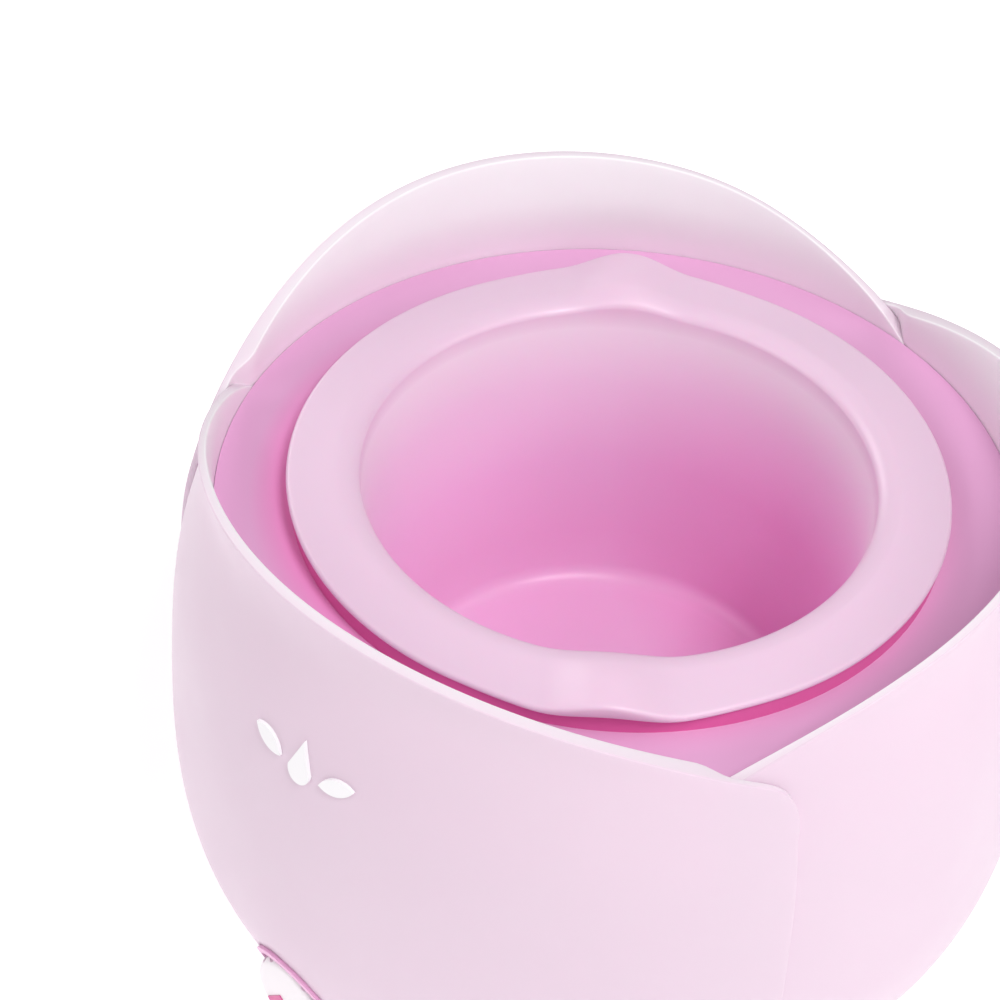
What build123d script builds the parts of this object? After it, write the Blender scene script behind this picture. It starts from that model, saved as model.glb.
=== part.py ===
from build123d import *
import os
from math import cos, radians, sin, sqrt

os.makedirs("parts", exist_ok=True)

# All sizes in mm. Z is up, Z = 0 is the surface the warmer stands on, the front faces -Y.

# Outer shell: three overlapping petals turned about the same vertical profile.
PETAL_COUNT = 3
PETAL_STEP = 360 / PETAL_COUNT
FRONT = 270                        # heading of the front petal's middle
SHELL_BOTTOM_Z = 20.0
SHELL_PROFILE = [                  # (radius, height) of the petals' outside
    (79.0, SHELL_BOTTOM_Z), (88.0, 31.0), (93.6, 43.0), (96.2, 57.0), (96.7, 75.0),
    (96.0, 92.0), (93.6, 112.0), (88.5, 132.0), (87.7, 139.0), (90.8, 154.0),
]
WALL_PROFILE = [                   # (radius, height) of the petals' inside, below the ledge
    (75.6, SHELL_BOTTOM_Z), (84.6, 31.0), (90.2, 43.0), (92.8, 57.0), (93.3, 75.0),
    (92.6, 92.0), (90.6, 109.0),
]
WALL_TOP_PROFILE = [(85.3, 127.0), (85.2, 139.0), (88.1, 154.0)]
LEDGE_R = 83.8                     # ledge inside the petals that carries the deck
LEDGE_BOTTOM_Z = 116.0
LAP_SHIFT = 1.0                    # sideways shift of each petal's axis: makes the spiral overlap
LAP_ANGLE = 5.6                    # how far a petal runs past the valley, outside the next one
TUCK_ANGLE = 8.0                   # how far a petal's start is tucked under the one before
VALLEY_Z = 131.6
PETAL_TIP_Z = 151.6
RIM_ROUND = 0.5
RIM_POINTS = [                     # (sideways, height) of the rim, seen square onto the petal
    (-84.0, 123.0), (-76.6, VALLEY_Z), (-69.7, 137.2), (-56.8, 144.3), (-30.2, 150.2),
    (0.0, PETAL_TIP_Z), (30.2, 149.2), (56.8, 141.9), (69.7, 135.9), (76.9, VALLEY_Z),
    (80.4, 129.0), (83.0, 124.6), (84.8, 118.5),
]

# Deck, collar and heating well.
DECK_TOP_Z = 126.5
DECK_THICKNESS = 2.5
DECK_HOLE_R = 61.5
DECK_R = 85.2
COLLAR_R = 69.3
COLLAR_HOLE_R = 58.9
COLLAR_TOP_Z = 130.5
LIP_R = 66.0
LIP_THICKNESS = 1.5
WELL_WALL = 1.5
WELL_FLOOR_Z = 53.2
WELL_FLOOR_R = 50.9
WELL_TOP_R = 58.0
WELL_FLOOR_THICKNESS = 3.0
BOSS_R = 3.2

# Removable silicone liner.
FLANGE_R = 70.0
FLANGE_TOP_Z = 132.4
FLANGE_BOTTOM_Z = 130.6
LINER_MOUTH_R = 54.5
LINER_FLOOR_R = 48.0
LINER_FLOOR_Z = 56.0
LINER_FLOOR_ROUND = 4.0
LINER_WALL = 2.5
LIP_OUT = 5.0                      # how far the mouth's lip curves outward
LIP_DOWN = 2.5                     # and how far it curves down into the wall
MOUTH_RISE = 1.2
GRIP_HEADINGS = (-48, 132)
GRIP_PROFILE = [                   # (across, height) of half a grip's crest
    (-16.0, 131.6), (-9.0, 133.4), (-4.5, 135.4), (0.0, 136.0),
]
GRIP_UNDERSIDE = [(-13.0, 130.4), (-8.0, 131.2), (-4.0, 132.2), (0.0, 132.5)]
GRIP_OFFSET = 16.0                 # a grip's edge is a smaller circle set off-centre
GRIP_EDGE_R = 56.0

# Clamping pillars, screws and heat shield.
PILLAR_HEADINGS = (-15, 105, 225)
PILLAR_RING_R = 71.0
PILLAR_R = 4.0
SCREW_R = 1.5
SCREW_HOLE_R = 1.7
SCREW_HEAD_R = 2.8
WELL_SCREW_HEADINGS = (30, 150, 270)
WELL_SCREW_RING_R = 63.4
SHIELD_R = 66.0
SHIELD_WALL = 0.6
SHIELD_BOTTOM_Z = 44.0
SHIELD_TOP_Z = 118.0
SHIELD_HOLE_R = 61.1
WELL_SCREW_END_Z = 113.5
WELL_NUT_APOTHEM = 2.5
WELL_NUT_THICKNESS = 2.4
PILLAR_HOLE_DEPTH = 14.0
BASE_SCREW_REACH = 12.0            # how far the base screws run into the pillars
BASE_SCREW_HEAD = 2.0
BLANKET = [(54.2, 56.0), (SHIELD_R - 0.2, 56.0), (SHIELD_R - 0.2, 112.0), (59.2, 112.0)]

# Heater stack under the well.
HEATER_R = 40.0
HEATER_THICKNESS = 4.0
MICA_THICKNESS = 1.0
CLAMP_R = 36.0
CLAMP_THICKNESS = 1.5
STUD_R = 2.0
STUD_HOLE_R = 2.3
STUD_LENGTH = 9.0
NUT_APOTHEM = 3.5
NUT_THICKNESS = 3.2
HEATER_TAIL_XS = (-24.0, 24.0)
HEATER_TAIL_Y = -30.0
HEATER_TAIL_R = 2.2
HEATER_TAIL_LENGTH = 6.0
HEATER_TOP_Z = WELL_FLOOR_Z - WELL_FLOOR_THICKNESS
HEATER_BOTTOM_Z = HEATER_TOP_Z - HEATER_THICKNESS
MICA_BOTTOM_Z = HEATER_BOTTOM_Z - MICA_THICKNESS
CLAMP_BOTTOM_Z = MICA_BOTTOM_Z - CLAMP_THICKNESS
FUSE_R = 2.0
FUSE_Y = 12.0
BULB_R = 2.2
BULB_END_Y = -8.0
BULB_LENGTH = 8.0

# Temperature dial, low on the front petal.
DIAL_Z = 37.0
DIAL_POCKET_R = 12.5
DIAL_BEZEL_WALL = 1.6
DIAL_BEZEL_RISE = 0.8
DIAL_FLOOR_Y = -82.5
DIAL_FLOOR_THICKNESS = 2.0
DIAL_R = 9.6
DIAL_FRONT_Y = -95.0
DIAL_REST_ANGLE = -135.0           # where the pointer stands when the warmer is off
DIAL_FLUTES = 16
FLUTE_R = 1.1
POINTER_SIZE = (1.4, 1.2, 5.6)
POINTER_R = 4.8
SHAFT_R = 3.0
SHAFT_INSIDE = 9.0                 # how far the shaft runs in behind the bezel's face
RUNNING_GAP = 0.05
THERMOSTAT_SIZE = (28.0, 13.0, 20.0)
THERMOSTAT_BACK_Y = DIAL_FLOOR_Y + DIAL_FLOOR_THICKNESS + THERMOSTAT_SIZE[1]

# Pilot lamp beside the dial.
LAMP_HEADING = -73
LAMP_R = 3.0
LAMP_FACE_R = 93.6
LAMP_DOME_R = 5.4
LAMP_SOCKET_R = 4.2
LAMP_BOARD_R = 7.0
LAMP_STEM_START = 84.0             # distances from the Z axis along the lamp's own axis
LAMP_SOCKET_START = 76.0
LAMP_BOARD_START = 74.4

# Anything cut right through the shell runs to this distance from the Z axis.
OUTSIDE = 110.0

# Base.
BASE_R = 68.0
BASE_WALL = 2.5
BASE_BOTTOM_Z = 3.0
BASE_FLANGE_R = 77.4
FOOT_HEADINGS = (45, 135, 225, 315)
FOOT_RING_R = 56.0
FOOT_R = 8.0
FOOT_POCKET = 1.0
VENT_COUNT = 12
VENT_RING_R = 36.0
VENT_SIZE = (14.0, 3.0)

# Mains inlet, low at the back.
INLET_Z = 12.0
INLET_BODY = (22.0, 18.0, 12.8)
INLET_FACE_Y = 66.4
INLET_RECESS = (15.6, 8.2)
INLET_RECESS_DEPTH = 12.0
PIN_R = 1.18
PIN_PITCH = 8.6
PIN_LENGTH = 9.0

PIN_TAIL = 4.0

# Connector block and leads on the base floor.
TERMINAL_TOP_Z = 17.5
TERMINAL_SIZE = (32.0, 12.0)
TERMINAL_CENTRE = (-24.0, 26.0)
TERMINAL_PITCH = 10.0
LEAD_R = 0.9
LEAD_BEND_R = 3.0
LOW_LEAD_Z = 11.0
STAT_LEAD_Z = 33.0
CAPILLARY_R = 0.7
CAPILLARY_Z = 36.0

# Raised mark on the front petal.
MARK_Z = 114.5
MARK_HEADING = -87.3
MARK_RISE = 0.7


def at_heading(radius, heading, z=0.0):
    return Vector(radius * cos(radians(heading)), radius * sin(radians(heading)), z)


def write(name, shape):
    export_step(shape, f"parts/{name}.step")


def outline_face(*edges):
    return make_face(Curve() + list(edges))


def turned(*edges):
    """Turn an outline drawn as (radius, height) edges about the Z axis."""
    return revolve(Plane.XZ * outline_face(*edges), Axis.Z, 360)


def turned_polygon(*points):
    return turned(Polyline(*points, close=True))


def ring(inner_r, outer_r, bottom_z, top_z):
    return turned_polygon((inner_r, bottom_z), (outer_r, bottom_z), (outer_r, top_z), (inner_r, top_z))


def disc(radius, bottom_z, top_z):
    return Pos(0, 0, (bottom_z + top_z) / 2) * Cylinder(radius, top_z - bottom_z)


def rod(radius, start, end):
    """A round bar between two points."""
    start, end = Vector(*start), Vector(*end)
    along = end - start
    return extrude(Plane(start, z_dir=along) * Circle(radius), amount=along.length)


def sector(start, end, reach=140.0, height=200.0):
    """A pie slice about the Z axis between two headings."""
    steps = 6
    headings = [start + (end - start) * i / steps for i in range(steps + 1)]
    corners = [at_heading(reach, a) for a in headings]
    return extrude(make_face(Polyline((0, 0), *[(c.X, c.Y) for c in corners], close=True)), amount=height)


def shell_core(offset=0.0):
    """The solid inside the petals' outer profile."""
    outline = [(r + offset, z) for r, z in SHELL_PROFILE]
    (bottom_r, bottom_z), (top_r, top_z) = outline[0], outline[-1]
    return turned(
        Spline(*outline),
        Polyline((top_r, top_z), (0, top_z), (0, bottom_z), (bottom_r, bottom_z)),
    )


def shell_cavity():
    """The space inside the petals, with the ledge that the deck rests on."""
    deck_bottom_z = DECK_TOP_Z - DECK_THICKNESS
    low_r, low_z = WALL_PROFILE[0]
    wall_r, wall_z = WALL_PROFILE[-1]
    deck_r, deck_z = WALL_TOP_PROFILE[0]
    top_r, top_z = WALL_TOP_PROFILE[-1]
    return turned(
        Polyline((0, low_z - 1), (low_r, low_z - 1), (low_r, low_z)),
        Spline(*WALL_PROFILE),
        Polyline((wall_r, wall_z), (LEDGE_R, LEDGE_BOTTOM_Z), (LEDGE_R, deck_bottom_z),
                 (deck_r, deck_bottom_z), (deck_r, deck_z)),
        Spline(*WALL_TOP_PROFILE),
        Polyline((top_r, top_z), (top_r, top_z + 1), (0, top_z + 1), (0, low_z - 1)),
    )


def above_rim():
    """Everything above the front petal's rim and beyond its free edge."""
    first, last = RIM_POINTS[0], RIM_POINTS[-1]
    top_z = PETAL_TIP_Z + 20
    outline = outline_face(
        Spline(*RIM_POINTS),
        Polyline(last, (OUTSIDE, last[1] - 60), (OUTSIDE, top_z), (-OUTSIDE, top_z),
                 (-OUTSIDE, first[1] - 30), first),
    )
    return extrude(Plane.XZ * outline, amount=OUTSIDE)


def filled_petal():
    """The front petal's outside as a full slice, up to its rim."""
    core = Pos(LAP_SHIFT, 0, 0) * shell_core()
    half = PETAL_STEP / 2
    return (core & sector(FRONT - half - TUCK_ANGLE, FRONT + half + LAP_ANGLE)) - above_rim()


def front_petal():
    """One petal: its end laps over the next one, its start is tucked under the one before."""
    filled = filled_petal()
    next_one = Rot(0, 0, PETAL_STEP) * filled
    petal = filled - next_one - shell_cavity()
    rim_edges = petal.edges().sort_by(SortBy.LENGTH)[-2:]
    return fillet(rim_edges, RIM_ROUND)


def dial_pocket(radius, depth_y=DIAL_FLOOR_Y):
    return rod(radius, (0, depth_y, DIAL_Z), (0, -OUTSIDE, DIAL_Z))


def mark_outlines():
    """A wax drop between two small leaves, drawn flat with its middle at the origin."""
    drop = outline_face(
        ThreePointArc((-3.0, -1.6), (0, -4.6), (3.0, -1.6)),
        Spline((3.0, -1.6), (1.6, 1.6), (0, 5.4)),
        Spline((0, 5.4), (-1.6, 1.6), (-3.0, -1.6)),
    )
    leaf = outline_face(
        ThreePointArc((0, 0), (4.6, 2.2), (8.6, 0.4)),
        ThreePointArc((8.6, 0.4), (4.4, -1.4), (0, 0)),
    )
    right = Pos(5.4, -1.6) * Rot(0, 0, 16) * leaf
    return [drop, right, mirror(right, Plane.YZ)]


def emblem():
    """The mark, raised from the front petal and following its curve."""
    skin = Pos(LAP_SHIFT, 0, 0) * (shell_core(MARK_RISE) - shell_core())
    plane = Plane(at_heading(80, MARK_HEADING, MARK_Z), x_dir=at_heading(1, MARK_HEADING + 90),
                  z_dir=at_heading(1, MARK_HEADING))
    return [extrude(plane * outline, amount=20) & skin for outline in mark_outlines()]


def liner_cup():
    """Tapered cup with a rounded lip and a broad flange."""
    mouth_z = FLANGE_TOP_Z + MOUTH_RISE
    lip_start = (LINER_MOUTH_R, mouth_z - LIP_DOWN)
    lip_end = (LINER_MOUTH_R + LIP_OUT, mouth_z)
    edge_round = (FLANGE_TOP_Z - FLANGE_BOTTOM_Z) / 2
    edge_r = FLANGE_R - edge_round
    outer_floor_z = LINER_FLOOR_Z - LINER_WALL
    round_r = LINER_FLOOR_R - LINER_FLOOR_ROUND
    round_in = LINER_FLOOR_ROUND * (1 - sqrt(0.5))
    wall_foot = (LINER_FLOOR_R, LINER_FLOOR_Z + LINER_FLOOR_ROUND)
    return turned(
        Line((0, LINER_FLOOR_Z), (round_r, LINER_FLOOR_Z)),
        ThreePointArc((round_r, LINER_FLOOR_Z), (LINER_FLOOR_R - round_in, LINER_FLOOR_Z + round_in),
                      wall_foot),
        Line(wall_foot, lip_start),
        Spline(lip_start, lip_end, tangents=((0, 1), (1, 0))),
        Line(lip_end, (edge_r, FLANGE_TOP_Z)),
        ThreePointArc((edge_r, FLANGE_TOP_Z), (FLANGE_R, FLANGE_TOP_Z - edge_round),
                      (edge_r, FLANGE_BOTTOM_Z)),
        Polyline((edge_r, FLANGE_BOTTOM_Z), (LINER_MOUTH_R + LINER_WALL, FLANGE_BOTTOM_Z),
                 (LINER_FLOOR_R + LINER_WALL, outer_floor_z), (0, outer_floor_z), (0, LINER_FLOOR_Z)),
    )


def wave_bar(half_profile, bottom_z):
    """A bar running out along -Y whose top follows a profile given up to its middle."""
    crest = half_profile + [(-x, z) for x, z in reversed(half_profile[:-1])]
    (start_x, start_z), (end_x, end_z) = crest[0], crest[-1]
    section = outline_face(
        Spline(*crest),
        Polyline((end_x, end_z), (end_x, bottom_z), (start_x, bottom_z), (start_x, start_z)),
    )
    return extrude(Plane.XZ * section, amount=OUTSIDE)


def liner():
    """The cup with two opposite grips, where the flange swells upward and outward."""
    cup = liner_cup()
    edge = Pos(0, -GRIP_OFFSET, 0) * disc(GRIP_EDGE_R, FLANGE_BOTTOM_Z, FLANGE_TOP_Z)
    ear = edge - disc(FLANGE_R - 2, FLANGE_BOTTOM_Z - 1, FLANGE_TOP_Z + 1)
    swell = Pos(0, -GRIP_OFFSET, 0) * disc(GRIP_EDGE_R, FLANGE_BOTTOM_Z, FLANGE_TOP_Z + 10)
    swell = swell & wave_bar(GRIP_PROFILE, FLANGE_BOTTOM_Z + 0.3)
    swell = swell - disc(LINER_MOUTH_R + LIP_OUT / 2, FLANGE_BOTTOM_Z, FLANGE_TOP_Z + 10)
    underside = wave_bar(GRIP_UNDERSIDE, FLANGE_BOTTOM_Z - 2)
    underside = underside - disc(COLLAR_R, FLANGE_BOTTOM_Z - 3, FLANGE_TOP_Z + 3)
    for heading in GRIP_HEADINGS:
        place = Rot(0, 0, heading - FRONT)
        cup = cup + place * ear + place * swell - place * underside
    return cup


def heating_well():
    """Tapered aluminium cup with an outward lip."""
    lip_top_z = DECK_TOP_Z + LIP_THICKNESS
    well = turned_polygon(
        (0, WELL_FLOOR_Z), (WELL_FLOOR_R, WELL_FLOOR_Z), (WELL_TOP_R, lip_top_z),
        (LIP_R, lip_top_z), (LIP_R, DECK_TOP_Z), (WELL_TOP_R + WELL_WALL, DECK_TOP_Z),
        (WELL_FLOOR_R + WELL_WALL, WELL_FLOOR_Z - WELL_FLOOR_THICKNESS),
        (0, WELL_FLOOR_Z - WELL_FLOOR_THICKNESS),
    )
    for heading in WELL_SCREW_HEADINGS:
        well -= countersunk_screw(heading, SCREW_HOLE_R - SCREW_R)
    return well


def countersunk_screw(heading, gap=0.0):
    """Screw through the well's lip and the deck; with a gap it is the hole for one."""
    lip_top_z = DECK_TOP_Z + LIP_THICKNESS
    x, y, _ = at_heading(WELL_SCREW_RING_R, heading)
    head = Pos(x, y, DECK_TOP_Z + LIP_THICKNESS / 2)
    head = head * Cone(SCREW_R + gap, SCREW_HEAD_R - 0.3 + gap, LIP_THICKNESS)
    shank = Pos(x, y, 0) * disc(SCREW_R + gap, WELL_SCREW_END_Z, lip_top_z - 0.2)
    return head + shank


def seat_collar():
    """Ring that covers the well's lip and carries the liner's flange."""
    lip_top_z = DECK_TOP_Z + LIP_THICKNESS
    return turned_polygon(
        (LIP_R + 0.2, DECK_TOP_Z), (COLLAR_R, DECK_TOP_Z), (COLLAR_R, COLLAR_TOP_Z),
        (COLLAR_HOLE_R, COLLAR_TOP_Z), (COLLAR_HOLE_R, lip_top_z), (LIP_R + 0.2, lip_top_z),
    )


def deck():
    """Flat ring between the petals and the well, with bosses for the well's screws."""
    bottom_z = DECK_TOP_Z - DECK_THICKNESS
    plate = ring(DECK_HOLE_R, DECK_R, bottom_z, DECK_TOP_Z)
    clear_of_well = disc(DECK_HOLE_R, SHIELD_TOP_Z - 1, bottom_z + 1)
    for heading in WELL_SCREW_HEADINGS:
        x, y, _ = at_heading(WELL_SCREW_RING_R, heading)
        boss = Pos(x, y, 0) * disc(BOSS_R, SHIELD_TOP_Z, bottom_z)
        plate += boss - clear_of_well
        plate -= Pos(x, y, 0) * disc(SCREW_HOLE_R, SHIELD_TOP_Z - 1, DECK_TOP_Z + 1)
    return plate


def heat_shield():
    """Thin steel sleeve hung under the deck, round the insulated well."""
    lip_bottom_z = SHIELD_TOP_Z - SHIELD_WALL
    sleeve = turned_polygon(
        (SHIELD_HOLE_R, SHIELD_TOP_Z), (SHIELD_R + SHIELD_WALL, SHIELD_TOP_Z),
        (SHIELD_R + SHIELD_WALL, SHIELD_BOTTOM_Z), (SHIELD_R, SHIELD_BOTTOM_Z),
        (SHIELD_R, lip_bottom_z), (SHIELD_HOLE_R, lip_bottom_z),
    )
    for heading in WELL_SCREW_HEADINGS:
        x, y, _ = at_heading(WELL_SCREW_RING_R, heading)
        sleeve -= Pos(x, y, 0) * disc(SCREW_HOLE_R, lip_bottom_z - 1, SHIELD_TOP_Z + 1)
    return sleeve


def well_nuts():
    top_z = SHIELD_TOP_Z - SHIELD_WALL
    nuts = []
    for heading in WELL_SCREW_HEADINGS:
        centre = at_heading(WELL_SCREW_RING_R, heading, top_z - WELL_NUT_THICKNESS)
        hexagon = RegularPolygon(WELL_NUT_APOTHEM, 6, major_radius=False) - Circle(SCREW_R)
        nuts.append(extrude(Plane(centre) * hexagon, amount=WELL_NUT_THICKNESS))
    return nuts


def insulation():
    """Fibre blanket wrapped round the tapered well."""
    return turned_polygon(*BLANKET)


def heating_plate():
    """Cast disc with the element's two tails standing down from it."""
    plate = ring(STUD_HOLE_R, HEATER_R, HEATER_BOTTOM_Z, HEATER_TOP_Z)
    for x in HEATER_TAIL_XS:
        tail = disc(HEATER_TAIL_R, HEATER_BOTTOM_Z - HEATER_TAIL_LENGTH, HEATER_BOTTOM_Z)
        plate += Pos(x, HEATER_TAIL_Y, 0) * tail
    return plate


def clamp_nut():
    hexagon = RegularPolygon(NUT_APOTHEM, 6, major_radius=False) - Circle(STUD_R)
    return extrude(Plane((0, 0, CLAMP_BOTTOM_Z - NUT_THICKNESS)) * hexagon, amount=NUT_THICKNESS)


def base_tray():
    """Round foot of the housing: floor, upright wall and the flange under the petals."""
    floor_top_z = BASE_BOTTOM_Z + BASE_WALL
    inner_r = BASE_R - BASE_WALL
    flange_bottom_z = SHELL_BOTTOM_Z - BASE_WALL
    tray = turned_polygon(
        (0, BASE_BOTTOM_Z), (BASE_R - 1.5, BASE_BOTTOM_Z), (BASE_R, BASE_BOTTOM_Z + 1.5),
        (BASE_R, flange_bottom_z), (BASE_FLANGE_R, flange_bottom_z),
        (BASE_FLANGE_R, SHELL_BOTTOM_Z), (inner_r, SHELL_BOTTOM_Z),
        (inner_r, floor_top_z), (0, floor_top_z),
    )
    for heading in FOOT_HEADINGS:
        x, y, _ = at_heading(FOOT_RING_R, heading)
        tray -= Pos(x, y, 0) * disc(FOOT_R + 0.1, BASE_BOTTOM_Z - 1, BASE_BOTTOM_Z + FOOT_POCKET)
    for heading in PILLAR_HEADINGS:
        x, y, _ = at_heading(PILLAR_RING_R, heading)
        tray -= Pos(x, y, 0) * disc(SCREW_HOLE_R, flange_bottom_z - 1, SHELL_BOTTOM_Z + 1)
    for i in range(VENT_COUNT):
        slot = extrude(SlotOverall(*VENT_SIZE), amount=floor_top_z + 1)
        tray -= Rot(0, 0, 360 * i / VENT_COUNT) * Pos(VENT_RING_R, 0, 0) * slot
    width, _, height = INLET_BODY
    tray -= Pos(0, BASE_R, INLET_Z) * Box(width, 2 * BASE_WALL + 3, height)
    return tray


def rubber_feet():
    feet = []
    for heading in FOOT_HEADINGS:
        x, y, _ = at_heading(FOOT_RING_R, heading)
        foot = Pos(x, y, 0) * disc(FOOT_R, 0, BASE_BOTTOM_Z + FOOT_POCKET)
        feet.append(chamfer(foot.edges().group_by(Axis.Z)[0], 0.8))
    return feet


def pillars():
    """Pillars that pull the deck down and the base up onto the petals."""
    deck_bottom_z = DECK_TOP_Z - DECK_THICKNESS
    group = []
    for heading in PILLAR_HEADINGS:
        x, y, _ = at_heading(PILLAR_RING_R, heading)
        post = disc(PILLAR_R, SHELL_BOTTOM_Z, deck_bottom_z)
        post -= disc(SCREW_R, SHELL_BOTTOM_Z, SHELL_BOTTOM_Z + PILLAR_HOLE_DEPTH)
        group.append(Pos(x, y, 0) * post)
    return group


def base_screws():
    """Pan-head screws up through the base flange into the pillars."""
    flange_bottom_z = SHELL_BOTTOM_Z - BASE_WALL
    head_z = flange_bottom_z - BASE_SCREW_HEAD
    group = []
    for heading in PILLAR_HEADINGS:
        x, y, _ = at_heading(PILLAR_RING_R, heading)
        head = disc(SCREW_HEAD_R, head_z, flange_bottom_z)
        head = fillet(head.edges().group_by(Axis.Z)[0], 0.9)
        slot = Pos(0, 0, head_z) * (Box(3.6, 0.7, 1.6) + Box(0.7, 3.6, 1.6))
        screw = head + disc(SCREW_R, flange_bottom_z, SHELL_BOTTOM_Z + BASE_SCREW_REACH) - slot
        group.append(Pos(x, y, 0) * screw)
    return group


def inlet_body():
    """Two-pin mains inlet with a stadium-shaped recess, open to the back."""
    width, depth, height = INLET_BODY
    body = Pos(0, INLET_FACE_Y - depth / 2, INLET_Z) * Box(width, depth, height)
    mouth = Plane((0, INLET_FACE_Y + 1, INLET_Z), x_dir=(1, 0, 0), z_dir=(0, -1, 0))
    body -= extrude(mouth * SlotOverall(*INLET_RECESS), amount=INLET_RECESS_DEPTH + 1)
    for x in (-PIN_PITCH / 2, PIN_PITCH / 2):
        body -= rod(PIN_R, (x, INLET_FACE_Y - depth - 1, INLET_Z), (x, INLET_FACE_Y - 1, INLET_Z))
    return body


def inlet_pins():
    """Contact pins: free in the recess, with solder tails behind the body."""
    tail_y = INLET_FACE_Y - INLET_BODY[1] - PIN_TAIL
    tip_y = INLET_FACE_Y - INLET_RECESS_DEPTH + PIN_LENGTH
    pins = []
    for x in (-PIN_PITCH / 2, PIN_PITCH / 2):
        pin = rod(PIN_R, (x, tail_y, INLET_Z), (x, tip_y, INLET_Z))
        pins.append(fillet(pin.edges().group_by(Axis.Y)[-1], 0.8))
    return pins


def dial_bezel():
    """Cup let into the front petal, its mouth following the petal's curve."""
    outer = dial_pocket(DIAL_POCKET_R, DIAL_FLOOR_Y)
    hollow = dial_pocket(DIAL_POCKET_R - DIAL_BEZEL_WALL, DIAL_FLOOR_Y)
    floor = rod(DIAL_POCKET_R, (0, DIAL_FLOOR_Y + DIAL_FLOOR_THICKNESS, DIAL_Z), (0, DIAL_FLOOR_Y, DIAL_Z))
    wall = (outer - hollow) & (Pos(LAP_SHIFT, 0, 0) * shell_core(DIAL_BEZEL_RISE))
    bore = rod(SHAFT_R + RUNNING_GAP, (0, DIAL_FLOOR_Y + 4, DIAL_Z), (0, DIAL_FLOOR_Y - 1, DIAL_Z))
    return floor + wall - bore


def dial_knob():
    """Fluted knob on the thermostat's shaft."""
    back_y = DIAL_FLOOR_Y - 0.5
    knob = rod(DIAL_R, (0, back_y, DIAL_Z), (0, DIAL_FRONT_Y, DIAL_Z))
    knob = fillet(knob.edges().group_by(Axis.Y)[0], 1.6)
    flute_ring_r = DIAL_R + 0.4
    for i in range(DIAL_FLUTES):
        angle = radians(360 * (i + 0.5) / DIAL_FLUTES)
        x = flute_ring_r * sin(angle)
        z = DIAL_Z + flute_ring_r * cos(angle)
        knob -= rod(FLUTE_R, (x, back_y + 1, z), (x, DIAL_FRONT_Y - 1, z))
    knob -= pointer_line(0.0)
    knob -= rod(SHAFT_R, (0, back_y + 1, DIAL_Z), (0, DIAL_FRONT_Y + 3, DIAL_Z))
    return knob


def pointer_line(rise):
    """Inlaid line on the knob's face that shows the setting."""
    width, depth, length = POINTER_SIZE
    line = Pos(0, 0, POINTER_R) * Box(width, depth + rise, length)
    return Pos(0, DIAL_FRONT_Y + (depth - rise) / 2, DIAL_Z) * Rot(0, DIAL_REST_ANGLE, 0) * line


def thermostat_shaft():
    return rod(SHAFT_R, (0, DIAL_FLOOR_Y + SHAFT_INSIDE, DIAL_Z), (0, DIAL_FRONT_Y + 3, DIAL_Z))


def thermostat():
    """Capillary thermostat behind the dial, with a bearing bore for its shaft."""
    width, depth, height = THERMOSTAT_SIZE
    front_y = THERMOSTAT_BACK_Y - depth
    bore_end_y = DIAL_FLOOR_Y + SHAFT_INSIDE + 0.5
    case = Pos(0, front_y + depth / 2, DIAL_Z + 1) * Box(width, depth, height)
    case = fillet(case.edges().filter_by(Axis.Y), 2.0)
    return case - rod(SHAFT_R + RUNNING_GAP, (0, front_y - 1, DIAL_Z), (0, bore_end_y, DIAL_Z))


def lamp_axis_point(radius):
    return at_heading(radius, LAMP_HEADING, DIAL_Z)


def lamp_hole():
    return rod(LAMP_R, lamp_axis_point(LAMP_STEM_START), lamp_axis_point(OUTSIDE))


def lamp_lens():
    """Small domed lens through the petal."""
    stem = rod(LAMP_R, lamp_axis_point(LAMP_STEM_START), lamp_axis_point(LAMP_FACE_R - 0.9))
    dome = Pos(*lamp_axis_point(LAMP_FACE_R - LAMP_DOME_R)) * Sphere(LAMP_DOME_R)
    return stem + (dome & rod(LAMP_R, lamp_axis_point(LAMP_FACE_R - 1), lamp_axis_point(OUTSIDE)))


def lamp_holder():
    """Board and socket that hold the pilot lamp behind its lens."""
    socket = rod(LAMP_SOCKET_R, lamp_axis_point(LAMP_SOCKET_START), lamp_axis_point(LAMP_STEM_START))
    board = rod(LAMP_BOARD_R, lamp_axis_point(LAMP_BOARD_START), lamp_axis_point(LAMP_SOCKET_START))
    return socket + board


def lead(*points, radius=LEAD_R):
    """Insulated wire: straight runs joined by arcs, round in section."""
    route = FilletPolyline(*points, radius=LEAD_BEND_R)
    return sweep(Plane(route @ 0, z_dir=route % 0) * Circle(radius), path=route)


def terminal_block():
    """Ceramic connector block on the base floor."""
    floor_top_z = BASE_BOTTOM_Z + BASE_WALL
    x, y = TERMINAL_CENTRE
    width, depth = TERMINAL_SIZE
    height = TERMINAL_TOP_Z - floor_top_z
    block = Pos(x, y, floor_top_z + height / 2) * Box(width, depth, height)
    for way in (-1, 0, 1):
        hole = disc(2.0, TERMINAL_TOP_Z - 4, TERMINAL_TOP_Z + 1)
        block -= Pos(x + way * TERMINAL_PITCH, y, 0) * hole
    return block


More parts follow.
